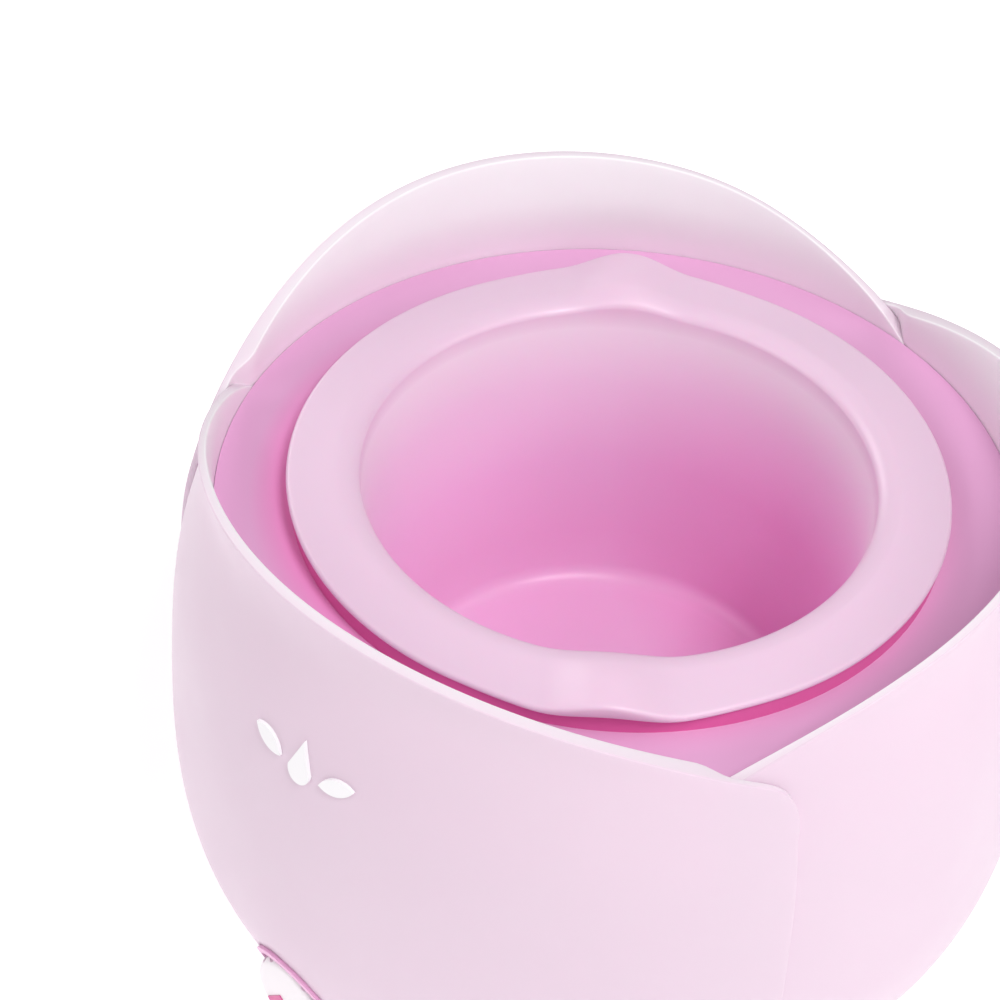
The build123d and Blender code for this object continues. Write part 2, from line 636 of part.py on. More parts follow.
def inlet_leads():
    """Leads from the inlet's tails to the terminal block's outer ways."""
    tail_y = INLET_FACE_Y - INLET_BODY[1] - PIN_TAIL
    block_y = TERMINAL_CENTRE[1] + TERMINAL_SIZE[1] / 2
    half = PIN_PITCH / 2
    near_x = TERMINAL_CENTRE[0] + TERMINAL_PITCH
    far_x = TERMINAL_CENTRE[0] - TERMINAL_PITCH
    near_y, far_y = tail_y - 7.4, tail_y - 3.4
    live = lead((half, tail_y, INLET_Z), (half, near_y, INLET_Z), (near_x, near_y, INLET_Z),
                (near_x, block_y, INLET_Z))
    neutral = lead((-half, tail_y, INLET_Z), (-half, far_y, INLET_Z), (far_x, far_y, INLET_Z),
                   (far_x, block_y, INLET_Z))
    return [live, neutral]


def heater_leads():
    """Leads from the terminal block to the thermostat, and on to the heater and back."""
    block_y = TERMINAL_CENTRE[1] - TERMINAL_SIZE[1] / 2
    near_x = TERMINAL_CENTRE[0] + TERMINAL_PITCH
    far_x = TERMINAL_CENTRE[0] - TERMINAL_PITCH
    left_x, right_x = HEATER_TAIL_XS
    tail_z = HEATER_BOTTOM_Z - HEATER_TAIL_LENGTH
    stat_x = 9.0
    supply = lead((near_x, block_y, LOW_LEAD_Z), (near_x, -40, LOW_LEAD_Z), (-stat_x, -60, STAT_LEAD_Z),
                  (-stat_x, THERMOSTAT_BACK_Y, STAT_LEAD_Z))
    feed = lead((stat_x, THERMOSTAT_BACK_Y, STAT_LEAD_Z), (stat_x, -50, STAT_LEAD_Z), (right_x, -38, 28),
                (right_x, HEATER_TAIL_Y, 31), (right_x, HEATER_TAIL_Y, tail_z))
    back = lead((far_x, block_y, LOW_LEAD_Z), (far_x, -16, LOW_LEAD_Z), (left_x, HEATER_TAIL_Y, 18),
                (left_x, HEATER_TAIL_Y, tail_z))
    return [supply, feed, back]


def sensor():
    """Capillary tube and bulb that feel the heating plate's temperature."""
    bulb_z = CLAMP_BOTTOM_Z - BULB_R
    bulb_start_y = BULB_END_Y - BULB_LENGTH
    tube = lead((0, THERMOSTAT_BACK_Y, CAPILLARY_Z), (0, -50, CAPILLARY_Z), (0, -30, bulb_z),
                (0, bulb_start_y + 1, bulb_z), radius=CAPILLARY_R)
    return tube + rod(BULB_R, (0, bulb_start_y, bulb_z), (0, BULB_END_Y, bulb_z))


def thermal_cutout():
    """One-shot thermal fuse strapped to the heater clamp."""
    z = CLAMP_BOTTOM_Z - FUSE_R
    return rod(FUSE_R, (10, FUSE_Y, z), (22, FUSE_Y, z)) + rod(0.6, (4, FUSE_Y, z), (28, FUSE_Y, z))


petal = front_petal()
bezel_cut = dial_pocket(DIAL_POCKET_R, DIAL_FLOOR_Y + DIAL_FLOOR_THICKNESS)
write("petal_front", petal - bezel_cut - lamp_hole())
write("petal_right", Rot(0, 0, PETAL_STEP) * petal)
write("petal_left", Rot(0, 0, -PETAL_STEP) * petal)
write("drop_emblem", Compound(children=emblem()))
write("deck_ring", deck())
write("seat_collar", seat_collar())
write("heating_well", heating_well())
write("silicone_liner", liner())
write("heat_shield", heat_shield())
write("insulation_blanket", insulation())
write("well_screws", Compound(children=[countersunk_screw(a) for a in WELL_SCREW_HEADINGS]))
write("well_nuts", Compound(children=well_nuts()))
write("heating_plate", heating_plate())
write("mica_insulator", ring(STUD_HOLE_R, CLAMP_R, MICA_BOTTOM_Z, HEATER_BOTTOM_Z))
write("heater_clamp", ring(STUD_HOLE_R, CLAMP_R, CLAMP_BOTTOM_Z, MICA_BOTTOM_Z))
write("clamp_stud", disc(STUD_R, HEATER_TOP_Z - STUD_LENGTH - NUT_THICKNESS, HEATER_TOP_Z))
write("clamp_nut", clamp_nut())
write("thermal_cutout", thermal_cutout())
write("thermostat", thermostat())
write("sensor_bulb", sensor())
write("dial_bezel", dial_bezel())
write("dial_knob", dial_knob())
write("dial_pointer", pointer_line(0.3))
write("thermostat_shaft", thermostat_shaft())
write("pilot_lens", lamp_lens())
write("pilot_lamp_holder", lamp_holder())
write("base_tray", base_tray())
write("rubber_feet", Compound(children=rubber_feet()))
write("clamp_pillars", Compound(children=pillars()))
write("base_screws", Compound(children=base_screws()))
write("inlet_body", inlet_body())
write("inlet_pins", Compound(children=inlet_pins()))
write("terminal_block", terminal_block())
write("inlet_leads", Compound(children=inlet_leads()))
write("heater_leads", Compound(children=heater_leads()))
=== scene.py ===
from math import cos, pi, radians, sin

import bmesh
import bpy
import numpy as np
from mathutils import Matrix, Vector


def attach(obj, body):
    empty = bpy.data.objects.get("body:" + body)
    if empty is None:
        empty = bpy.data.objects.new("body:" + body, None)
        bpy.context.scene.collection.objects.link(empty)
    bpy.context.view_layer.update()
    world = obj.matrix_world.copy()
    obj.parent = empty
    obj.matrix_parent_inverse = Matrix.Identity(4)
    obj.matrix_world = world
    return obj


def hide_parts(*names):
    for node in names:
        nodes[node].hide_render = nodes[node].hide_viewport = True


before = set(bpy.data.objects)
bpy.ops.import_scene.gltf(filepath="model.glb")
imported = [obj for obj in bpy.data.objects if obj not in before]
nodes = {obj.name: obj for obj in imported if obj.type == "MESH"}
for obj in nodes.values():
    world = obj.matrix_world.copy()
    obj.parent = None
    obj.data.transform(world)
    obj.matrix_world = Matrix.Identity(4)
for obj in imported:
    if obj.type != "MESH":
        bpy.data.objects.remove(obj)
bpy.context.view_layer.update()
MM = 0.001

# The shell's shape, in millimetres as it was designed: three equal petals turned about one profile.
PETAL_STEP = 120.0
SHELL_PROFILE = [
    (79.0, 20.0), (88.0, 31.0), (93.6, 43.0), (96.2, 57.0), (96.7, 75.0),
    (96.0, 92.0), (93.6, 112.0), (88.5, 132.0), (87.7, 139.0), (90.8, 154.0),
]
WALL_TOP_PROFILE = [(85.3, 118.0), (85.3, 127.0), (85.2, 139.0), (88.1, 154.0)]
RIM_POINTS = [
    (-84.0, 123.0), (-76.6, 131.6), (-69.7, 137.2), (-56.8, 144.3), (-30.2, 150.2),
    (0.0, 151.6), (30.2, 149.2), (56.8, 141.9), (69.7, 135.9), (76.9, 131.6),
    (80.4, 129.0), (83.0, 124.6), (84.8, 118.5),
]
LAP_SHIFT = 1.0
LAP_ANGLE = 5.6


def spline(xs, ys):
    """Natural cubic curve through the points, as a function of x."""
    xs, ys = np.array(xs, float), np.array(ys, float)
    count = len(xs)
    gaps = np.diff(xs)
    slopes = np.diff(ys) / gaps
    system, target = np.eye(count), np.zeros(count)
    for i in range(1, count - 1):
        system[i, i - 1:i + 2] = gaps[i - 1], 2 * (gaps[i - 1] + gaps[i]), gaps[i]
        target[i] = 6 * (slopes[i] - slopes[i - 1])
    bends = np.linalg.solve(system, target)

    def value(x):
        x = np.asarray(x, float)
        i = np.clip(np.searchsorted(xs, x) - 1, 0, count - 2)
        h, left, right = gaps[i], x - xs[i], xs[i + 1] - x
        cubic = (bends[i] * right ** 3 + bends[i + 1] * left ** 3) / (6 * h)
        line = (ys[i] / h - bends[i] * h / 6) * right + (ys[i + 1] / h - bends[i + 1] * h / 6) * left
        return cubic + line

    return value


def curve_through(points, count):
    """Evenly spaced points on a smooth curve through the given ones."""
    points = np.array(points, float)
    along = np.concatenate([[0], np.cumsum(np.linalg.norm(np.diff(points, axis=0), axis=1))])
    at = np.linspace(0, along[-1], count)
    return np.stack([spline(along, points[:, k])(at) for k in range(points.shape[1])], axis=1)


def smoothstep(low, high, x):
    t = np.clip((x - low) / (high - low), 0, 1)
    return t * t * (3 - 2 * t)


shell_radius = spline([z for r, z in SHELL_PROFILE], [r for r, z in SHELL_PROFILE])
wall_top_radius = spline([z for r, z in WALL_TOP_PROFILE], [r for r, z in WALL_TOP_PROFILE])


def new_piece(name, verts, faces, material, body, replaces=()):
    """A mesh object in metres from points in millimetres, riding on a body."""
    mesh = bpy.data.meshes.new(name)
    mesh.from_pydata([tuple(v) for v in np.asarray(verts) * MM], [], faces)
    mesh.validate()
    edit = bmesh.new()
    edit.from_mesh(mesh)
    bmesh.ops.remove_doubles(edit, verts=edit.verts, dist=1e-6)
    bmesh.ops.recalc_face_normals(edit, faces=edit.faces)
    edit.to_mesh(mesh)
    edit.free()
    for polygon in mesh.polygons:
        polygon.use_smooth = True
    piece = bpy.data.objects.new(name, mesh)
    bpy.context.scene.collection.objects.link(piece)
    mesh.materials.append(material)
    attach(piece, body)
    if replaces:
        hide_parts(*replaces)
    return piece


def add_modifier(piece, kind, **settings):
    modifier = piece.modifiers.new(kind.title(), kind)
    for key, value in settings.items():
        setattr(modifier, key, value)
    return modifier


def cut_round_hole(piece, radius, start, end):
    """Bore a hole through a piece along the line from start to end, in millimetres."""
    start, end = Vector(start) * MM, Vector(end) * MM
    bpy.ops.mesh.primitive_cylinder_add(
        vertices=96, radius=radius * MM, depth=(end - start).length, location=(start + end) / 2,
        rotation=(end - start).to_track_quat("Z", "Y").to_euler())
    cutter = bpy.context.object
    add_modifier(piece, "BOOLEAN", operation="DIFFERENCE", object=cutter, solver="EXACT")
    bored = piece.evaluated_get(bpy.context.evaluated_depsgraph_get())
    shape = bpy.data.meshes.new_from_object(bored)
    piece.modifiers.clear()
    piece.data = shape
    bpy.data.objects.remove(cutter)


# Materials. Scales are per metre, bump distances are in metres.

CLOUD_SCALE = 18            # slow drift of colour over a moulding
CLOUD_SHARE = 0.35
SHEEN_SCALE = 60            # patches of more and less gloss
SATIN_SHEEN_SCALE = 55
SHEEN_SPREAD = 0.07
MOULD_GRAIN = 900.0         # spark-eroded grain of a mould
SILICONE_GRAIN = 700.0
GRAIN_BUMP = 0.06
GRAIN_DEPTH = 0.0001


def principled(name, colour, roughness, **sockets):
    material = bpy.data.materials.new(name)
    material.use_nodes = True
    tree = material.node_tree
    shader = tree.nodes["Principled BSDF"]
    shader.inputs["Base Color"].default_value = (*colour, 1)
    shader.inputs["Roughness"].default_value = roughness
    for socket, value in sockets.items():
        shader.inputs[socket.replace("_", " ")].default_value = value
    return material, tree, shader


def linear(hex_colour):
    """Scene colour from a display colour such as "E8C0D8"."""
    values = [int(hex_colour[i:i + 2], 16) / 255 for i in (0, 2, 4)]
    return tuple(v / 12.92 if v <= 0.04045 else ((v + 0.055) / 1.055) ** 2.4 for v in values)


def object_point(tree, stretch=(1, 1, 1)):
    coordinates = tree.nodes.new("ShaderNodeTexCoord")
    mapping = tree.nodes.new("ShaderNodeMapping")
    mapping.inputs["Scale"].default_value = stretch
    tree.links.new(coordinates.outputs["Object"], mapping.inputs["Vector"])
    return mapping.outputs["Vector"]


def noise(tree, scale, detail=4.0, stretch=(1, 1, 1)):
    texture = tree.nodes.new("ShaderNodeTexNoise")
    texture.inputs["Scale"].default_value = scale
    texture.inputs["Detail"].default_value = detail
    tree.links.new(object_point(tree, stretch), texture.inputs["Vector"])
    return texture.outputs["Fac"]


def cells(tree, scale):
    texture = tree.nodes.new("ShaderNodeTexVoronoi")
    texture.inputs["Scale"].default_value = scale
    tree.links.new(object_point(tree), texture.inputs["Vector"])
    return texture.outputs["Distance"]


def bands(tree, kind, direction, scale, distortion=0.0):
    """Straight bands along an axis, or rings round it."""
    wave = tree.nodes.new("ShaderNodeTexWave")
    wave.wave_type = kind
    if kind == "RINGS":
        wave.rings_direction = direction
    else:
        wave.bands_direction = direction
    wave.inputs["Scale"].default_value = scale
    wave.inputs["Distortion"].default_value = distortion
    tree.links.new(object_point(tree), wave.inputs["Vector"])
    return wave.outputs["Fac"]


def map_range(tree, value, low, high, start=0.0, end=1.0):
    node = tree.nodes.new("ShaderNodeMapRange")
    node.inputs["From Min"].default_value = start
    node.inputs["From Max"].default_value = end
    node.inputs["To Min"].default_value = low
    node.inputs["To Max"].default_value = high
    tree.links.new(value, node.inputs["Value"])
    return node.outputs["Result"]


def mix_colours(tree, factor, first, second):
    """Blend of two colours; either may be a fixed colour or another node's output."""
    mix = tree.nodes.new("ShaderNodeMix")
    mix.data_type = "RGBA"
    for socket, colour in (("A", first), ("B", second)):
        if isinstance(colour, tuple):
            mix.inputs[socket].default_value = (*colour, 1)
        else:
            tree.links.new(colour, mix.inputs[socket])
    tree.links.new(factor, mix.inputs["Factor"])
    return mix.outputs["Result"]


def vary_roughness(tree, shader, roughness, spread, scale, stretch=(1, 1, 1)):
    value = noise(tree, scale, 3, stretch)
    low, high = roughness - spread, roughness + spread
    tree.links.new(map_range(tree, value, low, high, 0.25, 0.75), shader.inputs["Roughness"])


def vary_colour(tree, shader, colour, second, scale, detail=2.0, stretch=(1, 1, 1)):
    blend = mix_colours(tree, noise(tree, scale, detail, stretch), colour, second)
    tree.links.new(blend, shader.inputs["Base Color"])


def add_bump(tree, shader, height, strength, distance):
    bump = tree.nodes.new("ShaderNodeBump")
    bump.inputs["Strength"].default_value = strength
    bump.inputs["Distance"].default_value = distance
    tree.links.new(height, bump.inputs["Height"])
    tree.links.new(bump.outputs["Normal"], shader.inputs["Normal"])


def moulded_plastic(name, first, second, roughness=0.4, grain=MOULD_GRAIN, **sockets):
    """Satin injection moulding: faint colour drift, fine spark-eroded grain."""
    colour, other = linear(first), linear(second)
    material, tree, shader = principled(name, colour, roughness, **sockets)
    vary_colour(tree, shader, colour, other, CLOUD_SCALE)
    vary_roughness(tree, shader, roughness, SHEEN_SPREAD, SHEEN_SCALE)
    add_bump(tree, shader, noise(tree, grain, 2), GRAIN_BUMP, GRAIN_DEPTH)
    return material


def worked_metal(name, first, second, roughness, stretch=(1, 1, 1), scale=40.0, bump=0.0001):
    """Metal with the marks of its making drawn out along one way."""
    colour, other = linear(first), linear(second)
    material, tree, shader = principled(name, colour, roughness, Metallic=1.0)
    vary_colour(tree, shader, colour, other, scale, 5, stretch)
    vary_roughness(tree, shader, roughness, 0.12, scale, stretch)
    add_bump(tree, shader, noise(tree, scale * 6, 4, stretch), 0.2, bump)
    return material


def spun_metal(name, first, second, roughness):
    """Metal turned on a lathe: fine rings round the upright axis."""
    material = worked_metal(name, first, second, roughness)
    tree = material.node_tree
    add_bump(tree, tree.nodes["Principled BSDF"], bands(tree, "RINGS", "Z", 900, 0.4), 0.15, 0.00005)
    return material


def threaded_metal(name, first, second, pitch_scale):
    """Steel fastener with its thread drawn as close bands along the upright axis."""
    material = worked_metal(name, first, second, 0.32)
    tree = material.node_tree
    add_bump(tree, tree.nodes["Principled BSDF"], bands(tree, "BANDS", "Z", pitch_scale), 0.8, 0.0002)
    return material


def fibre_blanket(name, first, second):
    colour, other = linear(first), linear(second)
    material, tree, shader = principled(name, colour, 0.95)
    vary_colour(tree, shader, colour, other, 350, 6, (1, 1, 0.25))
    vary_roughness(tree, shader, 0.9, 0.08, 200)
    add_bump(tree, shader, noise(tree, 700, 8, (1, 1, 0.3)), 0.9, 0.0008)
    return material


def flaked_sheet(name, first, second):
    """Pressed mica: overlapping flakes with a faint sheen."""
    colour, other = linear(first), linear(second)
    material, tree, shader = principled(name, colour, 0.3, Coat_Weight=0.4)
    flakes = cells(tree, 220)
    tree.links.new(mix_colours(tree, flakes, colour, other), shader.inputs["Base Color"])
    tree.links.new(map_range(tree, flakes, 0.2, 0.55), shader.inputs["Roughness"])
    add_bump(tree, shader, flakes, 0.3, 0.0001)
    return material


def laminate_board(name, first, second):
    """Circuit board: woven glass under green resist."""
    colour, other = linear(first), linear(second)
    material, tree, shader = principled(name, colour, 0.35, Coat_Weight=0.5)
    weave = bands(tree, "BANDS", "X", 500, 0.3)
    tree.links.new(mix_colours(tree, weave, colour, other), shader.inputs["Base Color"])
    vary_roughness(tree, shader, 0.35, 0.08, 90)
    add_bump(tree, shader, bands(tree, "BANDS", "Z", 500, 0.3), 0.25, 0.00005)
    return material


def tinted_lens(name, first, second):
    colour, other = linear(first), linear(second)
    material, tree, shader = principled(name, colour, 0.08, Transmission_Weight=0.25, IOR=1.5)
    vary_colour(tree, shader, colour, other, 300, 2)
    vary_roughness(tree, shader, 0.1, 0.04, 500)
    add_bump(tree, shader, noise(tree, 400, 2), 0.05, 0.0001)
    return material


def blend_by(tree, value, stops):
    """Colour that follows a value: (value, colour) stops from low to high."""
    blend = stops[0][1]
    for (low, _), (high, colour) in zip(stops, stops[1:]):
        blend = mix_colours(tree, map_range(tree, value, 0.0, 1.0, low, high), blend, colour)
    return blend


def height_above_floor(tree):
    split = tree.nodes.new("ShaderNodeSeparateXYZ")
    tree.links.new(object_point(tree), split.inputs["Vector"])
    return split.outputs["Z"]


def dot(tree, first, second):
    """Dot product of a vector with another one or with a fixed direction."""
    product = tree.nodes.new("ShaderNodeVectorMath")
    product.operation = "DOT_PRODUCT"
    tree.links.new(first, product.inputs[0])
    if isinstance(second, tuple):
        product.inputs[1].default_value = second
    else:
        tree.links.new(second, product.inputs[1])
    return product.outputs["Value"]


def facing_out(tree):
    """Positive where the surface faces away from the upright axis, negative where it faces it."""
    normal = tree.nodes.new("ShaderNodeTexCoord").outputs["Normal"]
    return dot(tree, object_point(tree, (1, 1, 0)), normal)


def axis_distance(tree):
    length = tree.nodes.new("ShaderNodeVectorMath")
    length.operation = "LENGTH"
    tree.links.new(object_point(tree, (1, 1, 0)), length.inputs[0])
    return length.outputs["Value"]


def satin(name, blend_of, drift, roughness, grain, **sockets):
    """Satin surface: a blend of colours with painted light and shade, a faint cloudy drift over it and fine
    grain.
    """
    material, tree, shader = principled(name, drift, roughness, **sockets)
    cloud = map_range(tree, noise(tree, CLOUD_SCALE, 2), 0.0, CLOUD_SHARE)
    tree.links.new(mix_colours(tree, cloud, blend_of(tree), drift), shader.inputs["Base Color"])
    vary_roughness(tree, shader, roughness, SHEEN_SPREAD, SATIN_SHEEN_SCALE)
    add_bump(tree, shader, noise(tree, grain, 2), GRAIN_BUMP, GRAIN_DEPTH)
    return material


# Heights and distances are in metres. The tints below are painted light and shade: petal insides paler
# toward the rim, silicone deeper down the cup and low on one side, deck deeper where the flange shades it.
# They also stand in for light that scatters in thick, translucent plastic, and they stay in place when a
# piece moves.
PETAL_OUTSIDE = (0.745, 0.575, 0.69)
# Painted light inside the petals: pink painted shade low by the deck, paler painted light toward the rim.
PETAL_INSIDE_PAINTED_LIGHT = [(0.116, (0.83, 0.68, 0.79)), (0.14, (0.925, 0.91, 0.93))]
PETAL_DRIFT = (0.76, 0.61, 0.71)
SIDE_TURN = 0.03                    # facing_out passes from inside to outside over this much either way
# Painted light and shade on the silicone by height: deeper pink down the cup, palest just below the lip.
SILICONE_PAINTED_LIGHT_STOPS = [
    (0.058, (0.88, 0.47, 0.735)),       # the cup's floor
    (0.07, (0.87, 0.43, 0.71)),
    (0.09, (0.87, 0.46, 0.74)),
    (0.112, (0.89, 0.60, 0.80)),
    (0.1275, (0.945, 0.79, 0.89)),      # just below the lip
    (0.1322, (0.78, 0.555, 0.70)),      # the flange
]
# Painted shade: the deepest pink, low in the cup toward one side.
SILICONE_PAINTED_SHADE = (0.83, 0.28, 0.60)
SILICONE_DRIFT = (0.82, 0.54, 0.73)
PAINTED_SHADE_HEIGHTS = (0.09, 0.125)
PAINTED_SHADE_SIDE = (0.5, 0.87, 0)
PAINTED_SHADE_REACH = (0.015, 0.048)
DECK_PINK = (0.74, 0.385, 0.63)
DECK_SHADED = (0.92, 0.25, 0.62)
DECK_DRIFT = (0.73, 0.38, 0.61)
BESIDE_COLLAR = (0.070, 0.078)      # distances from the upright axis
SHADED_SIDE = (-0.6, -0.8, 0)
SHADED_REACH = (0.04, 0.07)


def reach_toward(tree, direction, span):
    """From 0 to 1 as a point's distance along a direction crosses a span."""
    return map_range(tree, dot(tree, object_point(tree), direction), 0.0, 1.0, *span)


def petal_blend(tree):
    """Even pink outside; inside, painted shade tinted pink near the deck and painted light, paler, toward
    the rim.
    """
    inside = blend_by(tree, height_above_floor(tree), PETAL_INSIDE_PAINTED_LIGHT)
    outward = map_range(tree, facing_out(tree), 0.0, 1.0, -SIDE_TURN, SIDE_TURN)
    return mix_colours(tree, outward, inside, PETAL_OUTSIDE)


def both(tree, first, second):
    """A blend factor that is high only where both of the given ones are."""
    product = tree.nodes.new("ShaderNodeMath")
    product.operation = "MULTIPLY"
    tree.links.new(first, product.inputs[0])
    tree.links.new(second, product.inputs[1])
    return product.outputs["Value"]


def silicone_blend(tree):
    """Painted light and shade: pale at the lip, deeper down the cup, deepest low on one side."""
    colour = blend_by(tree, height_above_floor(tree), SILICONE_PAINTED_LIGHT_STOPS)
    low = map_range(tree, height_above_floor(tree), 1.0, 0.0, *PAINTED_SHADE_HEIGHTS)
    far = reach_toward(tree, PAINTED_SHADE_SIDE, PAINTED_SHADE_REACH)
    return mix_colours(tree, both(tree, low, far), colour, SILICONE_PAINTED_SHADE)


def deck_blend(tree):
    """Deeper pink beside the collar where the flange shades it."""
    beside = map_range(tree, axis_distance(tree), 1.0, 0.0, *BESIDE_COLLAR)
    shaded = reach_toward(tree, SHADED_SIDE, SHADED_REACH)
    return mix_colours(tree, both(tree, beside, shaded), DECK_PINK, DECK_SHADED)


MATERIALS = {
    "petal_plastic": satin(
        "petal_plastic", petal_blend, PETAL_DRIFT, 0.42, MOULD_GRAIN,
        Subsurface_Weight=0.15, Subsurface_Radius=(0.006, 0.004, 0.005), Subsurface_Scale=1.0),
    "mark_white": moulded_plastic("mark_white", "FAF8FA", "F1EDF1", 0.3, 1500),
    "deck_plastic": satin("deck_plastic", deck_blend, DECK_DRIFT, 0.34, MOULD_GRAIN),
    "collar_plastic": moulded_plastic("collar_plastic", "E26AAA", "DC64A4", 0.5, Specular_IOR_Level=0.2),
    "well_metal": spun_metal("well_metal", "E2E2E4", "D2D3D6", 0.42),
    "silicone": satin(
        "silicone", silicone_blend, SILICONE_DRIFT, 0.36, SILICONE_GRAIN,
        Subsurface_Weight=0.2, Subsurface_Radius=(0.008, 0.003, 0.005), Subsurface_Scale=1.0),
    "shield_steel": worked_metal("shield_steel", "C4C5C7", "A9ABAE", 0.38, (1, 1, 12), 12),
    "fibre": fibre_blanket("fibre", "F2EFE6", "D9D3C4"),
    "screw_steel": threaded_metal("screw_steel", "C9C9CC", "A8A9AD", 620),
    "heater_metal": worked_metal("heater_metal", "A6A7A9", "87888B", 0.55, scale=160, bump=0.0003),
    "mica": flaked_sheet("mica", "CDBB95", "A8916A"),
    "thermostat_case": moulded_plastic("thermostat_case", "E9E4DA", "DCD5C8", 0.55, 600),
    "copper": worked_metal("copper", "C9835C", "A8653F", 0.3, (1, 8, 1), 60),
    "dial_plastic": moulded_plastic("dial_plastic", "F8F3F6", "F1E8EE", 0.33, 1200),
    "bezel_plastic": moulded_plastic("bezel_plastic", "EBB4D8", "E4A6CF", 0.42),
    "pointer_pink": moulded_plastic("pointer_pink", "DE5E9E", "D04F90", 0.3, 1500),
    "lens": tinted_lens("lens", "F59A7C", "F0805E"),
    "board": laminate_board("board", "3F7A55", "2F6444"),
    "base_plastic": moulded_plastic("base_plastic", "F2DCEA", "EED2E4", 0.45),
    "foot_rubber": moulded_plastic("foot_rubber", "D9CFD5", "CBBFC6", 0.85, 500, Specular_IOR_Level=0.25),
    "inlet_plastic": moulded_plastic("inlet_plastic", "39393C", "2C2C2F", 0.5, 700),
    "pin_brass": worked_metal("pin_brass", "E2D6AE", "C8B98A", 0.22, (1, 8, 1), 80),
    "ceramic": moulded_plastic("ceramic", "F4F1EA", "E6E1D6", 0.3, 300, Coat_Weight=0.3),
    "lead_sleeve": moulded_plastic("lead_sleeve", "F1EDE6", "DDD6C9", 0.6, 900),
}


# Petals.

RIM = curve_through(RIM_POINTS, 400)
FREE_EDGE_BOTTOM = SHELL_PROFILE[0][1]
PETAL_THICKNESS = 2.4
EDGE_ROUND = 0.75
DECK_Z = (108.0, 120.0)     # where a petal's inner wall turns from its plain thickness to the deck's seat
LAP_BLEND = (7.0, 2.5)      # degrees short of the lap where the inner wall comes to lie on the next petal
LAP_GAP = 0.05
COLUMNS, ROWS = 120, 44
CORNER_SHARE = 0.955        # how far along the rim its corner with the free edge lies
DIAL_Z = 37.0
DIAL_HOLE_R = 12.5
DIAL_HEADING = -90.0
LAMP_HEADING = -73.0
LAMP_HOLE_R = 3.0
HOLE_START, HOLE_END = 84.0, 110.0      # distances from the upright axis


def turn_about_z(points, degrees):
    a = radians(degrees)
    turn = np.array([[cos(a), sin(a), 0], [-sin(a), cos(a), 0], [0, 0, 1]])
    return points @ turn


def petal_boundary():
    """The outline of the front petal as (angle about its own axis, height): top and free edge."""
    height = RIM[:, 1]
    angle = np.degrees(np.arcsin((RIM[:, 0] - LAP_SHIFT) / shell_radius(height)))
    half = PETAL_STEP / 2 + LAP_ANGLE
    low = np.linspace(FREE_EDGE_BOTTOM, height[-1], 80)
    ray = np.radians(90 - half)
    # Where the free edge's heading about Z meets the petal's own circle.
    reach = LAP_SHIFT * cos(ray) + np.sqrt(shell_radius(low) ** 2 - (LAP_SHIFT * sin(ray)) ** 2)
    free = np.degrees(np.arcsin((reach * cos(ray) - LAP_SHIFT) / shell_radius(low)))
    corner = int(len(RIM) * CORNER_SHARE)
    top = np.stack([angle[:corner], height[:corner]], axis=1)
    side = np.concatenate([
        np.stack([free[:-1], low[:-1]], axis=1),
        np.stack([angle[corner - 1:], height[corner - 1:]], axis=1)[::-1],
    ])
    return top, side


def resample(line, spacing):
    """Points on a polyline at the given fractions of its length."""
    along = np.concatenate([[0], np.cumsum(np.linalg.norm(np.diff(line, axis=0), axis=1))])
    at = spacing * along[-1]
    return np.stack([np.interp(at, along, line[:, k]) for k in (0, 1)], axis=1)


def petal_grid():
    """A grid of (angle, height) that fills the petal's outline."""
    top_line, side_line = petal_boundary()
    across = np.linspace(0, 1, COLUMNS)
    up = np.linspace(0, 1, ROWS)
    top = resample(top_line, across)
    side = resample(side_line, up)
    start_angle, start_height = top[0]
    start_heights = FREE_EDGE_BOTTOM + up * (start_height - FREE_EDGE_BOTTOM)
    start = np.stack([np.full(ROWS, start_angle), start_heights], axis=1)
    bottom_angles = start_angle + across * (side[0, 0] - start_angle)
    bottom = np.stack([bottom_angles, np.full(COLUMNS, FREE_EDGE_BOTTOM)], axis=1)
    u, v = across[None, :, None], up[:, None, None]
    ruled = (1 - v) * bottom[None] + v * top[None] + (1 - u) * start[:, None] + u * side[:, None]
    corners = ((1 - u) * (1 - v) * bottom[0] + u * (1 - v) * bottom[-1]
               + (1 - u) * v * top[0] + u * v * top[-1])
    return ruled - corners


def petal_points():
    """Outer and inner points of the front petal on its grid."""
    grid = petal_grid()
    angle, z = np.radians(grid[..., 0]), grid[..., 1]
    radius = shell_radius(z)
    x = LAP_SHIFT + radius * np.sin(angle)
    y = -radius * np.cos(angle)
    outer = np.stack([x, y, z], axis=-1)
    reach = np.hypot(x, y)
    heading = np.degrees(np.arctan2(x, -y))
    half = PETAL_STEP / 2
    # The next petal's outside, which this one's end lies on.
    next_heading = np.radians(heading - PETAL_STEP)
    next_outside = shell_radius(z) + LAP_SHIFT * np.sin(next_heading)
    plain = reach - PETAL_THICKNESS
    near_deck = smoothstep(*DECK_Z, z)
    seat = wall_top_radius(np.maximum(z, WALL_TOP_PROFILE[0][1]))
    inner_reach = plain * (1 - near_deck) + seat * near_deck
    lapped = smoothstep(half - LAP_BLEND[0], half - LAP_BLEND[1], heading)
    inner_reach = inner_reach * (1 - lapped) + (next_outside + LAP_GAP) * lapped
    scale = (inner_reach / reach)[..., None]
    inner = np.concatenate([outer[..., :2] * scale, outer[..., 2:]], axis=-1)
    return outer, inner


